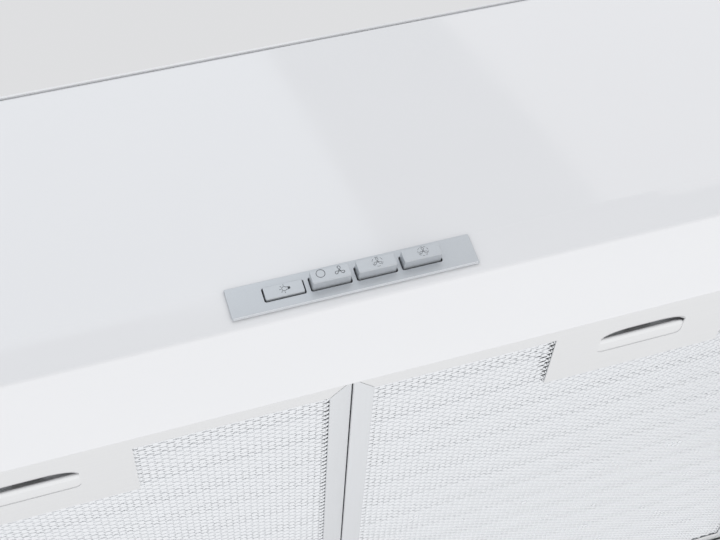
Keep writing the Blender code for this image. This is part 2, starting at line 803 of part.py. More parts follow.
def blower_base(material):
    outer = offset_path(scroll_outline(), WALL, closed=True)
    low, high = above(CASING_LOW - GAP) - WALL, above(CASING_LOW - GAP)
    bm = bmesh.new()
    prism(bm, outer, "Z", low, high)
    obj = add_object("blower_base", bm, material)
    hole = bmesh.new()
    drum(hole, (*FAN_CENTRE, low), INLET_RADIUS + 1.5 * MM, -10 * MM, 15 * MM, steps=36)
    boolean(obj, "DIFFERENCE", hole, "inlet")
    mouth = [
        (INLET_RADIUS + 6 * MM, -4 * MM),
        (INLET_RADIUS + 6 * MM, -2.5 * MM),
        (INLET_RADIUS + 2.5 * MM, 0.5 * MM),
        (INLET_RADIUS + 2 * MM, 6 * MM),
        (INLET_RADIUS, 6 * MM),
        (INLET_RADIUS, 0.2 * MM),
        (INLET_RADIUS + 2.5 * MM, -4 * MM),
    ]
    ring = bmesh.new()
    turned(ring, mouth, (*FAN_CENTRE, low), steps=36)
    boolean(obj, "UNION", ring, "mouth")


def inlet_guard(material):
    """A flat guard below the inlet, with arched slots between its spokes."""
    level = above(CASING_LOW - GAP) - WALL - 4 * MM - GAP
    bm = bmesh.new()
    drum(bm, (*FAN_CENTRE, level), INLET_RADIUS + 6 * MM, -2 * MM, 0, steps=40)
    obj = add_object("inlet_guard", bm, material)
    slots = bmesh.new()
    spokes, spoke = 6, math.radians(4)
    for inner, outer in ((12, 24), (28, 39), (43, 54)):
        for i in range(spokes):
            start = 2 * math.pi * i / spokes + spoke
            end = 2 * math.pi * (i + 1) / spokes - spoke
            outline = arc(FAN_CENTRE, outer * MM, start, end, 4)
            outline += arc(FAN_CENTRE, inner * MM, end, start, 4)
            prism(slots, outline, "Z", level - 5 * MM, level + 5 * MM)
    boolean(obj, "DIFFERENCE", slots, "slots")


def impeller(material):
    """Forward-curved blades between a top disc with a motor cup and a lower ring."""
    low, high = above(WHEEL_LOW), above(WHEEL_TOP)
    plate = 2 * MM
    floor = above(CUP_FLOOR)
    bore = SHAFT_RADIUS + GAP
    disc = [
        (WHEEL_RADIUS, high - plate),
        (WHEEL_RADIUS, high),
        (CUP_RADIUS, high),
        (CUP_RADIUS, floor + plate),
        (bore, floor + plate),
        (bore, floor - 4 * MM),
        (9 * MM, floor - 4 * MM),
        (9 * MM, floor),
        (CUP_RADIUS + plate, floor),
        (CUP_RADIUS + plate, high - plate),
    ]
    ring = [
        (WHEEL_RADIUS - 5 * MM, low),
        (WHEEL_RADIUS, low),
        (WHEEL_RADIUS, low + plate),
        (WHEEL_RADIUS - 5 * MM, low + plate),
    ]
    bm = bmesh.new()
    turned(bm, disc, (*FAN_CENTRE, 0), steps=40)
    obj = add_object("impeller", bm, material)
    rim = bmesh.new()
    blade_inner, blade_outer = 58 * MM, WHEEL_RADIUS - 1 * MM
    sweep, thickness, steps = math.radians(20), 1.0 * MM, 3
    for blade in range(BLADES):
        line = []
        for i in range(steps + 1):
            share = i / steps
            radius = blade_inner + (blade_outer - blade_inner) * share
            angle = 2 * math.pi * blade / BLADES + sweep * share * share
            line.append(
                (
                    FAN_CENTRE[0] + radius * math.cos(angle),
                    FAN_CENTRE[1] + radius * math.sin(angle),
                )
            )
        outline = offset_path(line, thickness / 2, closed=False)
        outline += offset_path(line, -thickness / 2, closed=False)[::-1]
        prism(rim, outline, "Z", low + plate / 2, high - plate / 2)
    boolean(obj, "UNION", rim, "blades")
    lower = bmesh.new()
    turned(lower, ring, (*FAN_CENTRE, 0), steps=40)
    boolean(obj, "UNION", lower, "lower_ring")


def motor(motor_material, steel):
    bore = SHAFT_RADIUS + GAP
    low, high = above(CUP_FLOOR + 5 * MM), above(CASING_HIGH) - WALL - GAP
    inside = low + 27 * MM
    profile = [
        (0, high),
        (44 * MM, high),
        (44 * MM, low + 3 * MM),
        (41 * MM, low),
        (bore, low),
        (bore, inside),
        (0, inside),
    ]
    bm = bmesh.new()
    turned(bm, profile[::-1], (*FAN_CENTRE, 0), steps=40)
    shade_round(add_object("motor", bm, motor_material))
    bm = bmesh.new()
    shaft_end = above(CUP_FLOOR - 14 * MM)
    drum(bm, (*FAN_CENTRE, 0), SHAFT_RADIUS, shaft_end, inside - 1 * MM, steps=24)
    shade_round(add_object("motor_shaft", bm, steel))
    bm = bmesh.new()
    nut_high = above(CUP_FLOOR - 4 * MM) - GAP
    nut = [(8 * MM, nut_high - 6 * MM), (8 * MM, nut_high), (bore, nut_high), (bore, nut_high - 6 * MM)]
    turned(bm, nut, (*FAN_CENTRE, 0), steps=24)
    add_object("impeller_nut", bm, steel)


# Duct collar and its flaps


def duct_collar(material):
    """Ring with a flange that is held between the top panel and the casing."""
    radius, wall = COLLAR_RADIUS, COLLAR_WALL
    ledge = FLAP_LEVEL - 0.9 * MM
    profile = [
        (radius, -3.5 * MM),
        (radius, TOP_SHEET - 1 * MM),
        (radius + 8 * MM, TOP_SHEET - 1 * MM),
        (radius + 8 * MM, TOP_SHEET),
        (radius, TOP_SHEET),
        (radius, COLLAR_RISE - 2 * MM),
        (radius - 0.6 * MM, COLLAR_RISE),
        (radius - wall, COLLAR_RISE),
        (radius - wall, ledge),
        (radius - wall - 2.4 * MM, ledge),
        (radius - wall - 2.4 * MM, ledge - 1.2 * MM),
        (radius - wall, ledge - 2.6 * MM),
        (radius - wall, -3.5 * MM),
    ]
    bm = bmesh.new()
    turned(bm, profile, (0, COLLAR_Y, 0), steps=40)
    obj = shade_round(add_object("duct_collar", bm, material))
    holes = bmesh.new()
    level = (0, COLLAR_Y, FLAP_LEVEL)
    drum(holes, level, PIN_RADIUS + GAP, -80 * MM, 80 * MM, "Y", 16)
    boolean(obj, "DIFFERENCE", holes, "pin_holes")


def damper(flap_material, steel):
    """Two half-round flaps that fold up on one pin across the collar."""
    bm = bmesh.new()
    level = (0, COLLAR_Y, FLAP_LEVEL)
    drum(bm, level, PIN_RADIUS, -COLLAR_RADIUS, COLLAR_RADIUS, "Y", 16)
    shade_round(add_object("damper_pin", bm, steel))
    thick = 0.6 * MM
    knuckles = {1: ((-50, -30), (5, 25)), -1: ((-27, 2), (28, 50))}
    for side, name in ((-1, "left"), (1, "right")):
        start = math.acos(5 * MM / FLAP_RADIUS)
        outline = [
            (side * x, COLLAR_Y + y) for x, y in arc((0, 0), FLAP_RADIUS, -start, start, 20)
        ]
        bm = bmesh.new()
        prism(bm, outline, "Z", FLAP_LEVEL - thick, FLAP_LEVEL + thick)
        obj = add_object(f"damper_flap_{name}", bm, flap_material)
        joints = bmesh.new()
        for low, high in knuckles[side]:
            near, far = side * 2.6 * MM, side * 8 * MM
            box(
                joints,
                (min(near, far), COLLAR_Y + low * MM, FLAP_LEVEL - 0.5 * thick),
                (max(near, far), COLLAR_Y + high * MM, FLAP_LEVEL + 0.5 * thick),
            )
        boolean(obj, "UNION", joints, "webs")
        rings = bmesh.new()
        for low, high in knuckles[side]:
            inner, outer = PIN_RADIUS + GAP, 3.3 * MM
            ring = [(outer, low * MM), (outer, high * MM), (inner, high * MM), (inner, low * MM)]
            turned(rings, ring, level, "Y", 16)
        boolean(obj, "UNION", rings, "knuckles")


# Electrical pieces


def junction_box(shell_material, lid_material, block_material):
    low, high = above(108 * MM), TOP_SHEET
    left, right, front, back = 170 * MM, 270 * MM, 60 * MM, 150 * MM
    bm = bmesh.new()
    box(bm, (left, front, low), (right, back, high))
    obj = add_object("junction_box", bm, shell_material)
    inside = bmesh.new()
    box(inside, (left + WALL, front + WALL, low - WALL), (right - WALL, back - WALL, high - WALL))
    boolean(obj, "DIFFERENCE", inside, "inside")
    entry = bmesh.new()
    drum(entry, (*GLAND, high), GLAND_RADIUS + GAP, -8 * MM, 8 * MM, steps=20)
    boolean(obj, "DIFFERENCE", entry, "entry")
    bm = bmesh.new()
    box(bm, (left, front, low - GAP - WALL), (right, back, low - GAP))
    add_object("junction_box_lid", bm, lid_material)
    bm = bmesh.new()
    box(bm, (195 * MM, 75 * MM, above(112 * MM)), (245 * MM, 92 * MM, above(126 * MM)))
    obj = add_object("terminal_block", bm, block_material)
    wells = bmesh.new()
    for i in range(4):
        x = (201 + 12.5 * i) * MM
        drum(wells, (x, 83.5 * MM, above(112 * MM)), 2.5 * MM, -3 * MM, 8 * MM, steps=12)
    boolean(obj, "DIFFERENCE", wells, "wells")


def cable_gland(material):
    """Gland with its flange inside the junction box, so that the top face stays clear."""
    radius = GLAND_RADIUS
    flange_top = TOP_SHEET - WALL - GAP
    profile = [
        (4 * MM, -22 * MM),
        (radius, -22 * MM),
        (radius, flange_top - 3 * MM),
        (12 * MM, flange_top - 3 * MM),
        (12 * MM, flange_top),
        (radius, flange_top),
        (radius, 5 * MM),
        (7 * MM, 13 * MM),
        (4 * MM, 13 * MM),
    ]
    bm = bmesh.new()
    turned(bm, profile, (*GLAND, 0), steps=20)
    shade_round(add_object("cable_gland", bm, material))


def driver_and_capacitor(driver_material, capacitor_material):
    bm = bmesh.new()
    middle = (130 * MM, -150 * MM)
    outline = rounded_rectangle(middle, 80 * MM, 30 * MM, 3 * MM, 3)
    prism(bm, outline, "Z", above(126 * MM), TOP_SHEET)
    add_object("lamp_driver", bm, driver_material)
    bm = bmesh.new()
    centre = (150 * MM, -60 * MM, above(130 * MM))
    profile = [(0, -30 * MM), (14 * MM, -30 * MM), (15 * MM, -29 * MM)]
    profile += [(15 * MM, 29 * MM), (14 * MM, 30 * MM), (0, 30 * MM)]
    turned(bm, profile, centre, "X", 24)
    shade_round(add_object("capacitor", bm, capacitor_material))


def cables(material):
    cable(
        "cable_switch",
        [
            (20, -214, 14),
            (20, -207, 26),
            (34, -200, 90),
            (60, -130, 132),
            (92, 0, 138),
            (150, 78, 134),
            (169, 80, 132),
        ],
        6 * MM,
        material,
    )
    cable(
        "cable_lamp_left",
        [
            (-225, -209, 25),
            (-222, -206, 50),
            (-150, -200, 128),
            (-20, -190, 140),
            (60, -160, 138),
            (89, -150, 137),
        ],
        5 * MM,
        material,
    )
    cable(
        "cable_lamp_right",
        [(225, -209, 25), (223, -206, 50), (212, -180, 120), (190, -155, 136), (171, -150, 137)],
        5 * MM,
        material,
    )
    cable(
        "cable_motor",
        [(43, -40, 132), (62, -42, 131), (90, -56, 130), (119, -60, 130)],
        6 * MM,
        material,
    )


def build():
    clear_scene()
    enamel = make_material("white_enamel", (0.86, 0.87, 0.88), 0.12)
    plated = make_material("plated_steel", (0.62, 0.63, 0.64), 0.35, 1.0)
    aluminium = make_material("satin_aluminium", (0.80, 0.80, 0.81), 0.35, 1.0)
    mesh_metal = make_material("mesh_aluminium", (0.84, 0.84, 0.86), 0.3, 1.0)
    silver = make_material("silver_plastic", (0.52, 0.57, 0.61), 0.35)
    spring_steel = make_material("spring_steel", (0.55, 0.55, 0.56), 0.3, 1.0)
    black = make_material("black_plastic", (0.03, 0.03, 0.035), 0.45)
    grey = make_material("grey_plastic", (0.45, 0.46, 0.48), 0.5)
    white = make_material("white_plastic", (0.85, 0.85, 0.84), 0.4)
    board = make_material("circuit_board", (0.05, 0.25, 0.12), 0.5)
    lens = make_material("frosted_lens", (0.95, 0.95, 0.93), 0.5)
    rubber = make_material("cable_sheath", (0.12, 0.12, 0.13), 0.6)

    front_panel(enamel)
    back_panel(enamel)
    side_panel("side_panel_left", -1, enamel)
    side_panel("side_panel_right", 1, enamel)
    top_panel(enamel)
    centre_bar(plated)

    lip = bpy.data.objects.new("lip_plane", None)
    bpy.context.collection.objects.link(lip)
    lip.location = (0, FRONT, above(LIP_HEIGHT))
    lip.rotation_euler.x = LIP_UNDERCUT
    control_strip(silver, lip)
    switch_housing(black, lip)
    switch_board(board, lip)
    names = ("button_light", "button_off_low", "button_medium", "button_high")
    for place, name in enumerate(names):
        button(name, place, name == "button_light", silver, spring_steel, lip)

    for side, name in ((-1, "left"), (1, "right")):
        lamp(side, white, lens, grey)
        filter_frame(side, name, aluminium)
        filter_pack(side, name, mesh_metal)
        latch(side, name, aluminium, grey, spring_steel)

    blower_casing(grey)
    blower_base(grey)
    inlet_guard(grey)
    impeller(black)
    motor(plated, spring_steel)
    duct_collar(black)
    damper(grey, spring_steel)
    junction_box(white, white, grey)
    cable_gland(black)
    driver_and_capacitor(white, white)
    cables(rubber)


build()
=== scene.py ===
"""Looks of the under cabinet range hood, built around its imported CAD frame. Metres, +Z up."""

import json
import math

import bmesh
import bpy
from mathutils import Matrix, Vector


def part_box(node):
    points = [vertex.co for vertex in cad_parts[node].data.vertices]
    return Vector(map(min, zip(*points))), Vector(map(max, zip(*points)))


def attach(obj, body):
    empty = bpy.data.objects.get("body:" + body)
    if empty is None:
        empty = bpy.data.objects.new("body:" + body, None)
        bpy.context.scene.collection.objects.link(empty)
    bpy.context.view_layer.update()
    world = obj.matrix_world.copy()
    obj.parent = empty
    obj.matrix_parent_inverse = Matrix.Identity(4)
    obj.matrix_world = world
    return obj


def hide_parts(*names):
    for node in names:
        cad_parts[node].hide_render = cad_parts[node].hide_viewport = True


MM = 0.001
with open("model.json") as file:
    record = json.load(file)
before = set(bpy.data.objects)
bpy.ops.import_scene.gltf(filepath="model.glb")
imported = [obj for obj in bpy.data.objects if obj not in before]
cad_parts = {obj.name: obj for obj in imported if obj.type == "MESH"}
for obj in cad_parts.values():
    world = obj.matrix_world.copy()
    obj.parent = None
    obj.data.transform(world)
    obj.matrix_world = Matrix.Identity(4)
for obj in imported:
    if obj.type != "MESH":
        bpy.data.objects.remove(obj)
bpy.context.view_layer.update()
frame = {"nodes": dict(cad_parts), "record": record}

# Sizes shared with the CAD model
HALF = 300 * MM
FRONT = -240 * MM
BOTTOM = -150 * MM
TOP_SHEET = -1.3 * MM
BEND = BOTTOM + 18.8 * MM  # where the lip meets the tall front
LEAN, UNDERCUT = math.radians(2.5), math.radians(4.0)
HEM, HEM_LENGTH, FLANGE = 2.3 * MM, 6 * MM, 14 * MM
SHEET = 1 * MM
LAMP_PLACES = {"left": (-225 * MM, -209 * MM), "right": (225 * MM, -209 * MM)}
LAMP_HOLE = 26 * MM
BUTTONS = ("button_light", "button_off_low", "button_medium", "button_high")
PITCH, CAP = 18.87 * MM, (15.9 * MM, 5.7 * MM)
BUTTON_MIDDLE = -7.15 * MM
CAP_FACE = 6.25 * MM  # proud of the lip
PRESS = 4 * MM  # how far the light's button rests in
SIDE_BAND, FRONT_BAND = 10 * MM, 10.8 * MM
FILTER_SHEET = 0.8 * MM
COLLAR = (0, 140 * MM)


def front_y(z):
    """Where the front's outer face is at this height."""
    slope = math.tan(LEAN) if z >= BEND else -math.tan(UNDERCUT)
    return FRONT + (z - BEND) * slope


LIP_EDGE = front_y(BOTTOM) + 63.4 * MM
SLOT_FRONT = LIP_EDGE + 15.6 * MM
SLOT = (44 * MM, 17 * MM)
SLOT_CURVE = (15 * MM, 5 * MM)  # its front corners are quarters of an ellipse
FRAME_LOW, FRAME_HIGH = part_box("filter_frame_right")
FILTER_FRONT, FILTER_BACK = LIP_EDGE + 0.5 * MM, LIP_EDGE + 344.5 * MM
FILTER_INNER, FILTER_OUTER = FRAME_LOW.x, FRAME_HIGH.x
FILTER_LOW, FILTER_HIGH = FRAME_LOW.z, FRAME_HIGH.z
LATCH_X = (FILTER_INNER + FILTER_OUTER) / 2
LIP_PLANE = Matrix.Translation((0, FRONT, BEND)) @ Matrix.Rotation(UNDERCUT, 4, "X")


# Materials


def add_node(tree, kind, **values):
    """A shader node whose sockets or settings get these values."""
    node = tree.nodes.new(kind)
    for name, value in values.items():
        if name in node.inputs:
            node.inputs[name].default_value = value
        else:
            setattr(node, name, value)
    return node


NOISE_LOW, NOISE_HIGH = 0.3, 0.7  # nearly all of a noise texture's values lie between these


def finish_of(name, colour, roughness, metallic=0.0, **more):
    """A shader whose tone, roughness and surface vary with noise in the piece's own space.

    more may hold: grain (noise scale), stretch (its share along X, Y and Z), spread (of the
    roughness), tone (how far the darker colour goes), bump, and any shader socket by name.
    """
    grain, stretch = more.pop("grain", 40.0), more.pop("stretch", (1, 1, 1))
    spread, tone = more.pop("spread", 0.03), more.pop("tone", 0.02)
    bump = more.pop("bump", 0.0)
    material = bpy.data.materials.new(name)
    material.use_nodes = True
    tree = material.node_tree
    shader = tree.nodes["Principled BSDF"]
    shader.inputs["Metallic"].default_value = metallic
    for socket, value in more.items():
        shader.inputs[socket].default_value = value
    place = add_node(tree, "ShaderNodeTexCoord")
    mapping = add_node(tree, "ShaderNodeMapping", Scale=stretch)
    noise = add_node(tree, "ShaderNodeTexNoise", Scale=grain, Detail=4.0)
    tree.links.new(place.outputs["Object"], mapping.inputs["Vector"])
    tree.links.new(mapping.outputs["Vector"], noise.inputs["Vector"])
    rough = add_node(tree, "ShaderNodeMapRange")
    rough.inputs["From Min"].default_value = NOISE_LOW
    rough.inputs["From Max"].default_value = NOISE_HIGH
    rough.inputs["To Min"].default_value = max(roughness - spread, 0.02)
    rough.inputs["To Max"].default_value = roughness + spread
    tree.links.new(noise.outputs["Fac"], rough.inputs["Value"])
    tree.links.new(rough.outputs["Result"], shader.inputs["Roughness"])
    ramp = add_node(tree, "ShaderNodeValToRGB")
    darker, lighter = ramp.color_ramp.elements
    darker.position, lighter.position = NOISE_LOW, NOISE_HIGH
    darker.color = (*(c * (1 - tone) for c in colour), 1)
    lighter.color = (*colour, 1)
    tree.links.new(noise.outputs["Fac"], ramp.inputs["Fac"])
    tree.links.new(ramp.outputs["Color"], shader.inputs["Base Color"])
    if bump:
        relief = add_node(tree, "ShaderNodeBump", Strength=bump, Distance=0.1 * MM)
        tree.links.new(noise.outputs["Fac"], relief.inputs["Height"])
        tree.links.new(relief.outputs["Normal"], shader.inputs["Normal"])
    return material


BRUSHED_X, BRUSHED_Y = (0.04, 1, 1), (1, 0.04, 1)
FINISHES = {
    "enamel": finish_of(
        "white_enamel", (0.80, 0.805, 0.82), 0.07, grain=25, spread=0.015, tone=0.006
    ),
    "plated": finish_of("plated_steel", (0.60, 0.61, 0.62), 0.34, 1.0, grain=120, tone=0.12),
    "silver_plastic": finish_of(
        "silver_plastic", (0.565, 0.592, 0.622), 0.34, 0.45, grain=2500, tone=0.05, bump=0.05
    ),
    "black_plastic": finish_of(
        "black_plastic", (0.03, 0.03, 0.033), 0.45, grain=900, tone=0.2, bump=0.1
    ),
    "circuit_board": finish_of("circuit_board", (0.03, 0.20, 0.09), 0.45, grain=300, tone=0.3),
    "spring_steel": finish_of(
        "spring_steel", (0.55, 0.55, 0.56), 0.28, 1.0, grain=400, tone=0.1
    ),
    "white_plastic": finish_of(
        "white_plastic", (0.80, 0.80, 0.79), 0.35, grain=600, tone=0.02, bump=0.05
    ),
    "lens": finish_of(
        "frosted_lens", (0.74, 0.75, 0.75), 0.45, grain=500, tone=0.03, bump=0.1,
        **{"Emission Color": (1, 0.98, 0.94, 1), "Emission Strength": 0.04},
    ),
    "grey_plastic": finish_of(
        "grey_plastic", (0.42, 0.43, 0.45), 0.5, grain=900, tone=0.08, bump=0.1
    ),
    "aluminium": finish_of(
        "satin_aluminium", (0.775, 0.778, 0.782), 0.38, 1.0, grain=900, stretch=BRUSHED_X,
        spread=0.04, tone=0.03,
    ),
    "mesh_aluminium": finish_of(
        "mesh_aluminium", (0.785, 0.797, 0.815), 0.30, 1.0, grain=60, tone=0.03
    ),
    "cable_sheath": finish_of("cable_sheath", (0.10, 0.10, 0.11), 0.55, grain=500, tone=0.1),
}
# The side rails' darker, bluer tone than the other rails is painted shade; their grain runs along
# Y
SHADED_SIDE_ALUMINIUM = finish_of(
    "satin_aluminium_side_painted_shade", (0.735, 0.748, 0.765), 0.38, 1.0, grain=900, stretch=BRUSHED_Y,
    spread=0.04, tone=0.03,
)
# Darker than the plate: painted shade on the roll where it turns up into the slot
SHADED_ROLL_FINISH = finish_of(
    "slot_roll_painted_shade", (0.64, 0.64, 0.65), 0.36, 1.0, grain=900, stretch=BRUSHED_X, tone=0.05
)
# Darker than the mesh in front: painted shade inside the filter
SHADED_INNER_MESH = finish_of("inner_mesh_painted_shade", (0.40, 0.41, 0.42), 0.5, 1.0, grain=60, tone=0.05)
# A lighter colour that paints the highlight on the control strip's lower edge
PAINTED_HIGHLIGHT = finish_of("strip_edge_painted_highlight", (0.78, 0.80, 0.83), 0.3, 0.3, grain=2500, tone=0.02)
INK = finish_of("dark_ink", (0.045, 0.05, 0.06), 0.5, grain=3000, tone=0.15)


# Making meshes


def object_from(name, mesh, materials, crisp=30):
    """The object of a mesh, shaded smoothly but crisp at angles over this many degrees."""
    for material in materials:
        mesh.materials.append(material)
    if crisp:
        mesh.shade_smooth()
        mesh.set_sharp_from_angle(angle=math.radians(crisp))
    obj = bpy.data.objects.new(name, mesh)
    bpy.context.scene.collection.objects.link(obj)
    return obj


def make(name, bm, *materials):
    """The object of what bm holds, with its faces turned outward."""
    bmesh.ops.recalc_face_normals(bm, faces=bm.faces)
    mesh = bpy.data.meshes.new(name)
    bm.to_mesh(mesh)
    bm.free()
    return object_from(name, mesh, materials)


def settle(obj, crisp=30):
    """Turns the object's modifiers into plain mesh."""
    graph = bpy.context.evaluated_depsgraph_get()
    mesh = bpy.data.meshes.new_from_object(obj.evaluated_get(graph))
    obj.modifiers.clear()
    obj.data = mesh
    if crisp:
        mesh.shade_smooth()
        mesh.set_sharp_from_angle(angle=math.radians(crisp))
    return obj


def cut(obj, bm, operation="DIFFERENCE"):
    """Cuts the object with, or joins to it, the shape in bm."""
    bmesh.ops.recalc_face_normals(bm, faces=bm.faces)
    mesh = bpy.data.meshes.new("tool")
    bm.to_mesh(mesh)
    bm.free()
    tool = bpy.data.objects.new("tool", mesh)
    bpy.context.scene.collection.objects.link(tool)
    modifier = obj.modifiers.new("cut", "BOOLEAN")
    modifier.operation = operation
    modifier.object = tool
    modifier.solver = "EXACT"
    settle(obj)
    bpy.data.objects.remove(tool)
    return obj


def soften(obj, width, segments=3, angle=35):
    """Rounds the object's edges that turn by more than this many degrees."""
    modifier = obj.modifiers.new("soften", "BEVEL")
    modifier.width = width
    modifier.segments = segments
    modifier.limit_method = "ANGLE"
    modifier.angle_limit = math.radians(angle)
    return settle(obj)


def even(obj):
    """Keeps large faces flat beside rounded edges, by weighting normals with area."""
    modifier = obj.modifiers.new("even", "WEIGHTED_NORMAL")
    modifier.weight = 100
    modifier.keep_sharp = True
    return settle(obj, crisp=None)


PLACES = {
    "X": lambda u, v, w: (w, u, v),
    "Y": lambda u, v, w: (u, w, v),
    "Z": lambda u, v, w: (u, v, w),
}


def prism(bm, outline, along, start, end):
    """A closed outline pushed out along an axis. Its points are YZ, XZ or XY pairs."""
    place = PLACES[along]
    first = [bm.verts.new(place(u, v, start)) for u, v in outline]
    last = [bm.verts.new(place(u, v, end)) for u, v in outline]
    bm.faces.new(first)
    bm.faces.new(reversed(last))
    for i in range(len(outline)):
        j = (i + 1) % len(outline)
        bm.faces.new((first[i], last[i], last[j], first[j]))


def box(bm, low, high):
    """A block between two opposite corners."""
    corners = [(low[0], low[1]), (high[0], low[1]), (high[0], high[1]), (low[0], high[1])]
    prism(bm, corners, "Z", low[2], high[2])


def arc(centre, radius, start, end, steps):
    """Points on an arc, with both ends. Angles are in radians."""
    angles = [start + (end - start) * i / steps for i in range(steps + 1)]
    return [(centre[0] + radius * math.cos(a), centre[1] + radius * math.sin(a)) for a in angles]


def circle(centre, radius, steps):
    """Points once round a circle."""
    return arc(centre, radius, 0, 2 * math.pi, steps)[:-1]


def rounded_rectangle(centre, width, height, radius, steps=6):
    """Points once round a rectangle with rounded corners."""
    points = []
    for turn, (sign_u, sign_v) in enumerate(((1, 1), (-1, 1), (-1, -1), (1, -1))):
        corner = (
            centre[0] + sign_u * (width / 2 - radius),
            centre[1] + sign_v * (height / 2 - radius),
        )
        points += arc(corner, radius, turn * math.pi / 2, (turn + 1) * math.pi / 2, steps)
    return points


def offset_path(points, distance, closed=False):
    """The path moved to its right by a distance, with mitred corners."""
    count = len(points)
    moved = []
    for i, point in enumerate(points):
        here = Vector(point)
        before = Vector(points[i - 1]) if closed or i > 0 else None
        after = Vector(points[(i + 1) % count]) if closed or i < count - 1 else None
        sides = []
        if before is not None:
            sides.append((here - before).normalized())
        if after is not None:
            sides.append((after - here).normalized())
        normals = [Vector((side.y, -side.x)) for side in sides]
        middle = sum(normals, Vector((0, 0))).normalized()
        moved.append(tuple(here + middle * distance / middle.dot(normals[0])))
    return moved


SAME_POINT = 0.001 * MM  # points closer than this are one


def bent_path(corners, radii, steps=8):
    """The path through these corners, each turned on an arc of its own radius."""
    points = [Vector(corners[0])]
    for before, corner, after, radius in zip(corners, corners[1:], corners[2:], radii):
        here = Vector(corner)
        to_before = (Vector(before) - here).normalized()
        to_after = (Vector(after) - here).normalized()
        half = to_before.angle(to_after) / 2
        centre = here + (to_before + to_after).normalized() * radius / math.sin(half)
        start = here + to_before * radius / math.tan(half) - centre
        turn = start.angle_signed(here + to_after * radius / math.tan(half) - centre)
        for i in range(steps + 1):
            point = centre + Matrix.Rotation(-turn * i / steps, 2) @ start
            if (point - points[-1]).length > SAME_POINT:
                points.append(point)
    points.append(Vector(corners[-1]))
    return [tuple(point) for point in points]


def lathe(bm, profile, centre, steps=64):
    """A profile of (radius, height) points turned about +Z. One with a hole is a loop."""
    rings = []
    for radius, height in profile:
        if radius == 0:
            pole = bm.verts.new((centre[0], centre[1], centre[2] + height))
            rings.append([pole] * steps)
            continue
        flat = circle(centre, radius, steps)
        rings.append([bm.verts.new((u, v, centre[2] + height)) for u, v in flat])
    following = rings[1:] + (rings[:1] if profile[0][0] > 0 else [])
    for ring, other in zip(rings, following):
        for i in range(steps):
            j = (i + 1) % steps
            bm.faces.new(list(dict.fromkeys((ring[i], ring[j], other[j], other[i]))))


def ribbon(bm, points, width, low, high, closed=False):
    """A line of this width drawn in XZ and raised along Y from low to high."""
    left = offset_path(points, -width / 2, closed)
    right = offset_path(points, width / 2, closed)
    rows = []
    for (u, v), (p, q) in zip(left, right):
        rows.append(
            [bm.verts.new(at) for at in ((u, low, v), (p, low, q), (p, high, q), (u, high, v))]
        )
    pairs = list(zip(rows, rows[1:]))
    if closed:
        pairs.append((rows[-1], rows[0]))
    else:
        bm.faces.new(rows[0])
        bm.faces.new(rows[-1])
    for a, b in pairs:
        for i in range(4):
            j = (i + 1) % 4
            bm.faces.new((a[i], a[j], b[j], b[i]))


def piece(obj, body, slot, *nodes):
    """Hands a finished piece to the frame, in place of these CAD nodes."""
    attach(obj, body)
    if nodes:
        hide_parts(*nodes)
    return obj


# Canopy


def front_shell():
    """One folded sheet: top flange, tall front, lip, front of the underside, and its hem."""
    corners = [
        (LIP_EDGE - HEM_LENGTH, BOTTOM + HEM),
        (LIP_EDGE, BOTTOM + HEM),
        (LIP_EDGE, BOTTOM),
        (front_y(BOTTOM), BOTTOM),
        (FRONT, BEND),
        (front_y(TOP_SHEET), TOP_SHEET),
        (front_y(TOP_SHEET) + FLANGE, TOP_SHEET),
    ]
    outer = bent_path(corners, [HEM / 2, HEM / 2, 1.6 * MM, 2.5 * MM, 2.2 * MM])
    outline = outer + offset_path(outer, SHEET)[::-1]
    bm = bmesh.new()
    prism(bm, outline, "X", -HALF, HALF)
    obj = make("front_shell", bm, FINISHES["enamel"])
    for x, y in LAMP_PLACES.values():
        hole = bmesh.new()
        disc = circle((x, y), LAMP_HOLE, 64)
        prism(hole, disc, "Z", BOTTOM - 5 * MM, BOTTOM + 5 * MM)
        cut(obj, hole)
    opening = bmesh.new()
    middle, half_wide, half_high = BEND + BUTTON_MIDDLE, 39.3 * MM, 4.5 * MM
    box(
        opening,
        (-half_wide, FRONT - 3 * MM, middle - half_high),
        (half_wide, FRONT + 6 * MM, middle + half_high),
    )
    cut(obj, opening)
    piece(obj, "canopy", "enamel", "front_panel")


# Controls, in the lip's own plane: +Y into the hood and Z up the lip


def button_x(i):
    """Where a button's middle is along the strip."""
    return (i - (len(BUTTONS) - 1) / 2) * PITCH


def strip():
    """The silver plate with its four button windows, and a painted highlight: a thin lighter
    sheet along its lower edge.
    """
    low = (-51 * MM, -1.3 * MM, -14.9 * MM)
    high = (51 * MM, -0.3 * MM, -0.6 * MM)
    rounding = 0.65 * MM
    window_wide, window_high, window_corner = 17.1 * MM, 6.6 * MM, 0.8 * MM
    bm = bmesh.new()
    box(bm, low, high)
    obj = make("strip_cover", bm, FINISHES["silver_plastic"])
    soften(obj, rounding)
    for i in range(len(BUTTONS)):
        window = bmesh.new()
        middle = (button_x(i), BUTTON_MIDDLE - 0.15 * MM)
        outline = rounded_rectangle(middle, window_wide, window_high, window_corner)
        prism(window, outline, "Y", -5 * MM, 5 * MM)
        cut(obj, window)
    even(obj)
    obj.data.transform(LIP_PLANE)
    piece(obj, "canopy", "silver_plastic", "control_strip")
    # Painted highlight: a thin sheet of lighter colour over the lower rounded edge
    corner = (low[1] + rounding, low[2] + rounding)
    start, end = math.radians(185), math.radians(262)
    outline = arc(corner, rounding + 0.04 * MM, start, end, 8)
    outline += arc(corner, rounding - 0.15 * MM, end, start, 8)
    inset = 0.6 * MM
    bm = bmesh.new()
    prism(bm, outline, "X", low[0] + inset, high[0] - inset)
    obj = make("strip_edge_highlight_sheet", bm, PAINTED_HIGHLIGHT)
    obj.data.transform(LIP_PLANE)
    piece(obj, "canopy", "silver_plastic")


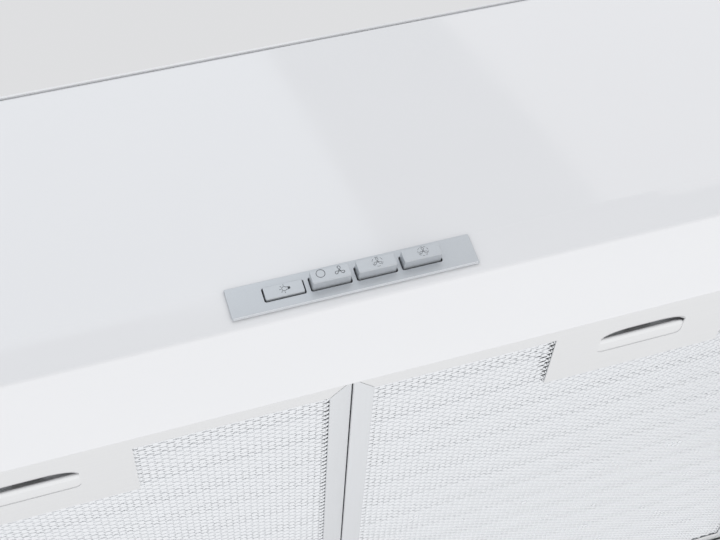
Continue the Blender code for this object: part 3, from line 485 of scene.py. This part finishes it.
# A fan blade's outline: along it from the hub, and across it, both as shares of the fan's size
BLADE = (
    (0.2, -0.05), (0.55, -0.3), (0.82, -0.32), (1.0, -0.12),
    (0.98, 0.15), (0.78, 0.27), (0.5, 0.12), (0.2, 0.07),
)


def fan_symbol(bm, centre, size, width, low, high):
    """Three outlined blades round a hub."""
    ribbon(bm, circle(centre, size * 0.13, 12), width, low, high, closed=True)
    for turn in range(3):
        angle = math.pi / 2 + turn * 2 * math.pi / 3
        along, across = (math.cos(angle), math.sin(angle)), (-math.sin(angle), math.cos(angle))
        blade = [
            (
                centre[0] + size * (u * along[0] + v * across[0]),
                centre[1] + size * (u * along[1] + v * across[1]),
            )
            for u, v in BLADE
        ]
        ribbon(bm, blade, width, low, high, closed=True)


def marked_fan_symbol(bm, centre, marks, low, high):
    """A small fan with this many marks round it."""
    fan_symbol(bm, centre, 1.75 * MM, 0.15 * MM, low, high)
    for i in range(marks):
        start = 2 * math.pi * (i + 0.2) / marks
        mark = arc(centre, 2.15 * MM, start, start + 2 * math.pi * 0.6 / marks, 6)
        ribbon(bm, mark, 0.14 * MM, low, high)


def lamp_symbol(bm, centre, low, high):
    """A bulb lying on its side, with its cap and five rays."""
    thin = 0.2 * MM
    bulb = arc(centre, 0.95 * MM, math.radians(35), math.radians(325), 16)
    neck_end = centre[0] + 1.5 * MM
    neck = [(neck_end, bulb[-1][1]), (neck_end, bulb[0][1])]
    ribbon(bm, [*bulb, *neck], thin, low, high, closed=True)
    cap = (centre[0] + 1.95 * MM, centre[1])
    prism(bm, rounded_rectangle(cap, 1.0 * MM, 1.1 * MM, 0.35 * MM, 3), "Y", low, high)
    for degrees in (90, 135, 180, 225, 270):
        a = math.radians(degrees)
        ray = [
            (centre[0] + r * MM * math.cos(a), centre[1] + r * MM * math.sin(a))
            for r in (1.35, 2.0)
        ]
        ribbon(bm, ray, thin, low, high)


def symbols(name, bm, x, low, high):
    """The generic symbols of one button, whose middle is at x along the strip."""
    if name == "button_light":
        lamp_symbol(bm, (-28.1 * MM - x, 0.3 * MM), low, high)
    elif name == "button_off_low":
        ring = circle((-13.3 * MM - x, 0.9 * MM), 1.75 * MM, 40)
        ribbon(bm, ring, 0.24 * MM, low, high, closed=True)
        fan_symbol(bm, (-5.7 * MM - x, 0.35 * MM), 2.1 * MM, 0.22 * MM, low, high)
    elif name == "button_medium":
        marked_fan_symbol(bm, (9.95 * MM - x, 0.3 * MM), 6, low, high)
    else:
        marked_fan_symbol(bm, (29.0 * MM - x, 0.3 * MM), 9, low, high)


def buttons():
    """Each cap with its stem, and its symbols as a thin print on its face."""
    cap_back, stem_start, stem_end, stem_radius = 6.95 * MM, 6 * MM, 15.45 * MM, 1.15 * MM
    for i, name in enumerate(BUTTONS):
        x = button_x(i)
        push = PRESS if name == "button_light" else 0
        place = LIP_PLANE @ Matrix.Translation((x, push, BUTTON_MIDDLE))
        bm = bmesh.new()
        prism(bm, rounded_rectangle((0, 0), *CAP, 0.55 * MM), "Y", -CAP_FACE, cap_back)
        obj = make(f"{name}_cap", bm, FINISHES["silver_plastic"])
        soften(obj, 0.35 * MM, angle=60)
        stem = bmesh.new()
        prism(stem, circle((0, 0), stem_radius, 24), "Y", stem_start, stem_end)
        even(cut(obj, stem, "UNION"))
        obj.data.transform(place)
        piece(obj, name, "silver_plastic", name)
        bm = bmesh.new()
        symbols(name, bm, x, -CAP_FACE - 0.03 * MM, -CAP_FACE + 0.1 * MM)
        obj = make(f"{name}_symbol", bm, INK)
        obj.data.transform(place)
        piece(obj, name, "silver_plastic")


# Lamps


def lamps():
    """Each lamp's ring with its rounded rim, and its lens with eight round ribs."""
    inner, sleeve, sleeve_top = 21 * MM, 25.6 * MM, 9 * MM
    lens_radius, lens_low, lens_high = 20.6 * MM, -0.6 * MM, 1.35 * MM
    rib, rib_deep = 2.4 * MM, 0.25 * MM
    for side, (x, y) in LAMP_PLACES.items():
        centre = (x, y, BOTTOM)
        ring = [(28 * MM, -0.05 * MM)]
        ring += arc((26.6 * MM, -0.4 * MM), 1.35 * MM, 0, -math.pi / 2, 6)
        ring += arc((22.4 * MM, -0.35 * MM), 1.4 * MM, -math.pi / 2, -math.pi, 6)
        ring += [(inner, sleeve_top), (sleeve, sleeve_top), (sleeve, -0.05 * MM)]
        bm = bmesh.new()
        lathe(bm, ring, centre)
        obj = make(f"lamp_ring_{side}", bm, FINISHES["white_plastic"])
        piece(obj, "canopy", "white_plastic", f"lamp_bezel_{side}")
        lens = [(0, lens_low)]
        for i in range(1, 9):
            lens += [(rib * i - rib / 2, lens_low), (rib * i, lens_low + rib_deep)]
        lens += [(lens_radius - 0.4 * MM, lens_low), (lens_radius, lens_low + 0.4 * MM)]
        lens += [(lens_radius, lens_high), (0, lens_high)]
        bm = bmesh.new()
        lathe(bm, lens, centre)
        obj = make(f"lamp_glass_{side}", bm, FINISHES["lens"])
        piece(obj, "canopy", "lens", f"lamp_lens_{side}")


# Filters: made for the right side, and mirrored in X for the left


def mirrored(bm, side):
    """What bm holds, on this side of the hood."""
    if side == "left":
        bmesh.ops.scale(bm, vec=(-1, 1, 1), verts=bm.verts)
    return bm


MITRE_GAP = 0.07 * MM


def rail(bm, corner_a, corner_b, inward_a, inward_b, lower_lip=True):
    """One side of the frame: a channel between two mitred corners.

    inward_a and inward_b point from each outer corner to its inner corner, one band across.
    The front rail has no lower lip, because the tab's plate takes its place.
    """
    wall = SHEET / (SIDE_BAND if lower_lip else FRONT_BAND)
    low, high, thin = FILTER_LOW, FILTER_HIGH, FILTER_SHEET
    # Shares of the band across, and heights
    profile = [(0, high), (1, high), (1, high - thin), (wall, high - thin), (wall, low + thin)]
    if lower_lip:
        profile += [(0.96, low + thin), (1, low + 0.75 * thin), (1, low + 0.25 * thin)]
        profile += [(0.98, low), (0.1, low), (0.04, low + 0.15 * thin), (0, low + 0.6 * thin)]
    else:
        profile.append((0, low + thin))
    ends = []
    for corner, inward in ((corner_a, inward_a), (corner_b, inward_b)):
        ring = []
        for share, z in profile:
            place = (corner[0] + inward[0] * share, corner[1] + inward[1] * share, z)
            ring.append(bm.verts.new(place))
        ends.append(ring)
    bm.faces.new(ends[0])
    bm.faces.new(reversed(ends[1]))
    for i in range(len(profile)):
        j = (i + 1) % len(profile)
        bm.faces.new((ends[0][i], ends[1][i], ends[1][j], ends[0][j]))


def filter_rails(side):
    """The frame's side rails with the two rear tongues, and its front and rear rails."""
    left, right, front, back = FILTER_INNER, FILTER_OUTER, FILTER_FRONT, FILTER_BACK
    band, first, gap = SIDE_BAND, FRONT_BAND, MITRE_GAP
    bm = bmesh.new()
    rail(bm, (left, front + gap), (left, back - gap), (band, first), (band, -band))
    rail(bm, (right, front + gap), (right, back - gap), (-band, first), (-band, -band))
    tongue_in, half_wide = 60 * MM, 10 * MM
    for x in (tongue_in, FILTER_OUTER - tongue_in):
        box(
            bm,
            (x - half_wide, FILTER_BACK - 0.5 * MM, BOTTOM + 2.9 * MM),
            (x + half_wide, FRAME_HIGH.y, BOTTOM + 4.1 * MM),
        )
    obj = make(f"filter_side_rails_{side}", mirrored(bm, side), SHADED_SIDE_ALUMINIUM)
    piece(obj, f"filter_{side}", "aluminium", f"filter_frame_{side}")
    bm = bmesh.new()
    rail(bm, (left + gap, back), (right - gap, back), (band, -band), (-band, -band))
    front_corners = (left + gap, front), (right - gap, front)
    rail(bm, *front_corners, (band, first), (-band, first), lower_lip=False)
    obj = make(f"filter_end_rails_{side}", mirrored(bm, side), FINISHES["aluminium"])
    piece(obj, f"filter_{side}", "aluminium")


def slot_front_edge():
    """The slot's front edge from its left end to its right, as points and inward directions."""
    along, across = SLOT_CURVE
    steps = 12
    path = []
    for sign in (-1, 1):
        centre = (LATCH_X + sign * (SLOT[0] / 2 - along), SLOT_FRONT + across)
        for step in range(steps + 1):
            share = step / steps if sign < 0 else 1 - step / steps
            a = math.pi / 2 * share
            point = (
                centre[0] + sign * along * math.cos(a),
                centre[1] - across * math.sin(a),
            )
            inward = Vector((-sign * math.cos(a) / along, math.sin(a) / across)).normalized()
            path.append((point, tuple(inward)))
    return path


def filter_tab(side):
    """Front band and latch tab in one plate, with the finger slot cut out."""
    left, right, front = FILTER_INNER + MITRE_GAP, FILTER_OUTER - MITRE_GAP, FILTER_FRONT
    inner = front + FRONT_BAND
    tab_left, tab_right = LATCH_X - 46 * MM, LATCH_X + 46 * MM
    tab_end = LIP_EDGE + 48.9 * MM
    low, high = FILTER_LOW, FILTER_LOW + FILTER_SHEET
    outline = [
        (left, front),
        (left + SIDE_BAND, inner),
        (tab_left, inner),
        (tab_left, tab_end),
        (tab_right, tab_end),
        (tab_right, inner),
        (right - SIDE_BAND, inner),
        (right, front),
    ]
    bm = bmesh.new()
    prism(bm, outline, "Z", low, high)
    obj = make(f"filter_tab_{side}", bm, FINISHES["aluminium"])
    soften(obj, 0.18 * MM, 2)
    radius = 3 * MM
    right_end, back_end = LATCH_X + SLOT[0] / 2 - radius, SLOT_FRONT + SLOT[1] - radius
    left_end = LATCH_X - SLOT[0] / 2 + radius
    outline = [point for point, _ in slot_front_edge()]
    outline += arc((right_end, back_end), radius, 0, math.pi / 2, 8)
    outline += arc((left_end, back_end), radius, math.pi / 2, math.pi, 8)
    hole = bmesh.new()
    prism(hole, outline, "Z", low - MM, high + MM)
    cut(obj, hole)
    # Mirrored only now, because the slot's outline is the right side's
    bm = bmesh.new()
    bm.from_mesh(obj.data)
    bpy.data.objects.remove(obj)
    obj = even(make(f"filter_tab_{side}", mirrored(bm, side), FINISHES["aluminium"]))
    piece(obj, f"filter_{side}", "aluminium")


def rolled_edge(side):
    """The quarter roll that turns up from the tab along the slot's front edge, in a darker
    aluminium that paints its shade.
    """
    roll, steps = 2.6 * MM, 10
    angles = [math.pi / 2 * i / steps for i in range(steps + 1)]
    section = [(roll * math.sin(a), roll - roll * math.cos(a)) for a in angles]
    inside = roll - FILTER_SHEET
    section += [(inside * math.sin(a), roll - inside * math.cos(a)) for a in reversed(angles)]
    bm = bmesh.new()
    rows = []
    for (x, y), (inward_x, inward_y) in slot_front_edge():
        rows.append(
            [
                bm.verts.new((x + inward_x * deep, y + inward_y * deep, FILTER_LOW + rise))
                for deep, rise in section
            ]
        )
    for a, b in zip(rows, rows[1:]):
        for i in range(len(a)):
            j = (i + 1) % len(a)
            bm.faces.new((a[i], a[j], b[j], b[i]))
    bm.faces.new(rows[0])
    bm.faces.new(rows[-1])
    obj = make(f"slot_rolled_edge_{side}", mirrored(bm, side), SHADED_ROLL_FINISH)
    piece(obj, f"filter_{side}", "aluminium")


def latch_slide(side):
    """Finger plate with its front edge turned up, the black bolt, and a black strip on that edge
    that paints the shade in the slot.
    """
    plate, neck_low, neck_high = BOTTOM + 3.4 * MM, BOTTOM + 6.0 * MM, BOTTOM + 7.0 * MM
    start = SLOT_FRONT + 9.0 * MM
    corners = [(start + 12.8 * MM, plate), (start, plate), (start, neck_high)]
    outer = bent_path(corners, [1.4 * MM])
    outline = outer + offset_path(outer, -0.8 * MM)[::-1]
    half_plate, half_shade_strip, half_bolt = 30 * MM, 29 * MM, 6 * MM
    bm = bmesh.new()
    prism(bm, outline, "X", LATCH_X - half_plate, LATCH_X + half_plate)
    obj = make(f"latch_plate_{side}", mirrored(bm, side), FINISHES["aluminium"])
    piece(obj, f"latch_{side}", "aluminium", f"latch_slide_{side}")
    nose, shoulder, back = FILTER_FRONT - 0.1 * MM, FILTER_FRONT + 0.5 * MM, start + 0.4 * MM
    bolt = [
        (nose, neck_low + 0.2 * MM),
        (shoulder, neck_low),
        (back, neck_low),
        (back, neck_high),
        (shoulder, neck_high),
        (nose, neck_high - 0.2 * MM),
    ]
    bm = bmesh.new()
    prism(bm, bolt, "X", LATCH_X - half_bolt, LATCH_X + half_bolt)
    # Painted shade: a thin black strip on the turned-up edge's front face, standing for the dark
    # gap in the slot
    box(
        bm,
        (LATCH_X - half_shade_strip, start - 0.25 * MM, plate + 1.1 * MM),
        (LATCH_X + half_shade_strip, start, neck_high - 0.3 * MM),
    )
    obj = make(f"latch_bolt_and_shade_strip_{side}", mirrored(bm, side), FINISHES["black_plastic"])
    soften(obj, 0.1 * MM)
    piece(obj, f"latch_{side}", "black_plastic")


def expanded_mesh(name, low, high, area, long_way, short_way, strand, tilt, notch=None):
    """Expanded metal: rows of zigzag strands with three sides, which touch at their bonds.

    area is (x0, x1, y0, y1). strand is (width, thickness). notch is an area left out. A strand
    is widest and tilts most at its bonds, and narrows and lies flatter halfway between them.
    """
    x0, x1, y0, y1 = area
    columns = round((x1 - x0) / (long_way / 2))
    rows = int((y1 - y0) / (short_way / 2))
    step_x = (x1 - x0) / columns
    step_y = (y1 - y0) / rows
    level = (low + high) / 2
    width, thick = strand
    bond, halfway = (1.5, tilt), (0.62, tilt * 0.3)  # share of the width, and tilt
    verts, faces = [], []
    for row in range(rows):
        run = []
        middle = y0 + step_y * (row + 0.5)
        for column in range(columns * 2 + 1):
            x = x0 + step_x * column / 2
            swing = (1, 0, -1, 0)[column % 4] * (-1) ** row
            y = middle + swing * (step_y / 2 - 0.1 * width)
            if notch and notch[0] < x < notch[1] and notch[2] < y < notch[3]:
                run = []
                continue
            share, slope = bond if swing else halfway
            wide = Vector((0, math.cos(slope), -math.sin(slope))) * width / 2 * share
            deep = Vector((0, math.sin(slope), math.cos(slope))) * thick / 2
            centre = Vector((x, y, level))
            front, back = centre - wide, centre + wide
            here = len(verts)
            verts.extend(tuple(corner) for corner in (front - deep, back - deep, front + deep))
            if run:
                last = run[-1]
                for i in range(3):
                    j = (i + 1) % 3
                    faces.append((last + i, last + j, here + j, here + i))
            run.append(here)
    mesh = bpy.data.meshes.new(name)
    mesh.from_pydata(verts, [], faces)
    mesh.update()
    return mesh


def filter_meshes(side):
    """The mesh that shows, with the latch housing's place left out, and the one behind it, darker
    to paint the shade inside the filter.
    """
    sign = 1 if side == "right" else -1
    inset = 1.3 * MM
    edges = sorted((sign * (FILTER_INNER + inset), sign * (FILTER_OUTER - inset)))
    area = (*edges, FILTER_FRONT + inset, FILTER_BACK - inset)
    middle, half_wide = sign * LATCH_X, 36 * MM
    housing_end = SLOT_FRONT + SLOT[1] + 13.2 * MM
    notch = (middle - half_wide, middle + half_wide, FILTER_FRONT, housing_end)
    # Node, low and high above the underside, diamond, strand (all in mm), tilt, finish, notch
    layers = (
        ("mesh", 3.2, 4.1, (6.4, 3.7), (0.8, 0.3), 40, FINISHES["mesh_aluminium"], notch),
        ("back_mesh", 9.3, 10.2, (12.0, 6.2), (1.5, 0.35), 30, SHADED_INNER_MESH, None),
    )
    for layer, low, high, (long_way, short_way), (width, thick), tilt, finish, gap in layers:
        mesh = expanded_mesh(
            f"expanded_{layer}_{side}",
            BOTTOM + low * MM,
            BOTTOM + high * MM,
            area,
            long_way * MM,
            short_way * MM,
            (width * MM, thick * MM),
            math.radians(tilt),
            gap,
        )
        obj = object_from(mesh.name, mesh, [finish], crisp=None)
        piece(obj, f"filter_{side}", "mesh_aluminium", f"filter_{layer}_{side}")


# Duct collar


def collar():
    """The ring with its flange, two grooves, the flaps' ledge and the pin's holes."""
    radius, wall, rise, foot = 59.5 * MM, 1.5 * MM, 45 * MM, -3.5 * MM
    inside, ledge, ledge_in = radius - wall, 7.1 * MM, radius - wall - 2.4 * MM
    flange, flange_low, flange_high = radius + 8 * MM, TOP_SHEET - 1 * MM, TOP_SHEET
    profile = [(radius, foot), (radius, flange_low), (flange, flange_low)]
    profile += [(flange, flange_high), (radius, flange_high)]
    for level in (14 * MM, 34 * MM):
        profile += [(radius, level - MM), (radius - 0.5 * MM, level), (radius, level + MM)]
    profile += [(radius, rise - 2 * MM), (radius - 0.6 * MM, rise), (inside, rise)]
    profile += [(inside, ledge), (ledge_in, ledge), (ledge_in, ledge - 1.2 * MM)]
    profile += [(inside, ledge - 2.6 * MM), (inside, foot)]
    bm = bmesh.new()
    lathe(bm, profile, (*COLLAR, 0), 96)
    obj = make("collar_ring", bm, FINISHES["black_plastic"])
    hole = bmesh.new()
    pin = circle((COLLAR[0], 8 * MM), 1.8 * MM, 24)
    prism(hole, pin, "Y", COLLAR[1] - 80 * MM, COLLAR[1] + 80 * MM)
    cut(obj, hole)
    piece(obj, "canopy", "black_plastic", "duct_collar")


front_shell()
strip()
buttons()
lamps()
for side in ("left", "right"):
    filter_rails(side)
    filter_tab(side)
    rolled_edge(side)
    latch_slide(side)
    filter_meshes(side)
collar()

# What stays as the CAD frame has it takes its finish from the record's slots
for entry in frame["record"]["subparts"]:
    mesh = frame["nodes"][entry["node"]].data
    mesh.materials.clear()
    mesh.materials.append(FINISHES[entry["material_slot"]])


# Studio

FLOOR_TOP = -2.2  # low enough for the camera to look from straight below
bm = bmesh.new()
prism(bm, circle((0, 0), 9, 96), "Z", FLOOR_TOP - 0.02, FLOOR_TOP)
floor = make("floor", bm, finish_of("pale_floor", (0.82, 0.82, 0.82), 0.7, grain=3, tone=0.02))

world = bpy.data.worlds.new("studio")
world.use_nodes = True
world.node_tree.nodes["Background"].inputs["Color"].default_value = (0.98, 0.985, 1, 1)
world.node_tree.nodes["Background"].inputs["Strength"].default_value = 0.75
bpy.context.scene.world = world


def soft_light(name, place, target, size, power, colour=(1, 1, 1)):
    """A soft box that the camera doesn't see, aimed at target. power is in watts."""
    light = bpy.data.lights.new(name, "AREA")
    light.shape = "RECTANGLE"
    light.size, light.size_y = size
    light.energy = power
    light.color = colour
    obj = bpy.data.objects.new(name, light)
    obj.location = place
    aim = Vector(target) - Vector(place)
    obj.rotation_euler = aim.to_track_quat("-Z", "Y").to_euler()
    obj.visible_camera = False
    bpy.context.scene.collection.objects.link(obj)


soft_light("under", (0.1, 0.2, -1.5), (0.1, 0.2, 0), (6, 6), 54)
# The front mirrors the upright right edge of this one
soft_light("tall_left", (-0.58, -2.2, 1.9), (-0.58, -1.2, 1.9), (2.4, 2.2), 16.2, (0.87, 0.94, 1))
soft_light("tall_right", (2.0, -2.2, 1.9), (2.0, -1.2, 1.9), (1.6, 2.2), 9.6, (1, 0.955, 0.935))

# The photo's view, from a fit to its straight edges and corners: where the camera is, and how
# far it is turned to the right, raised and rolled, in degrees
CAMERA_PLACE = (-0.10385, -0.65037, -0.41448)
VIEW_TURN, VIEW_RISE, VIEW_ROLL = 14.669, 33.233, 21.285
camera = bpy.data.objects.new("camera", bpy.data.cameras.new("camera"))
bpy.context.scene.collection.objects.link(camera)
camera.data.lens = 63.87
camera.data.sensor_width = 36
camera.data.clip_start = 0.01
aim = Matrix.Rotation(math.radians(-VIEW_TURN), 4, "Z")
aim @= Matrix.Rotation(math.radians(90 + VIEW_RISE), 4, "X")
aim @= Matrix.Rotation(math.radians(-VIEW_ROLL), 4, "Z")
camera.matrix_world = Matrix.Translation(CAMERA_PLACE) @ aim
bpy.context.scene.camera = camera
bpy.context.scene.view_settings.view_transform = "Standard"
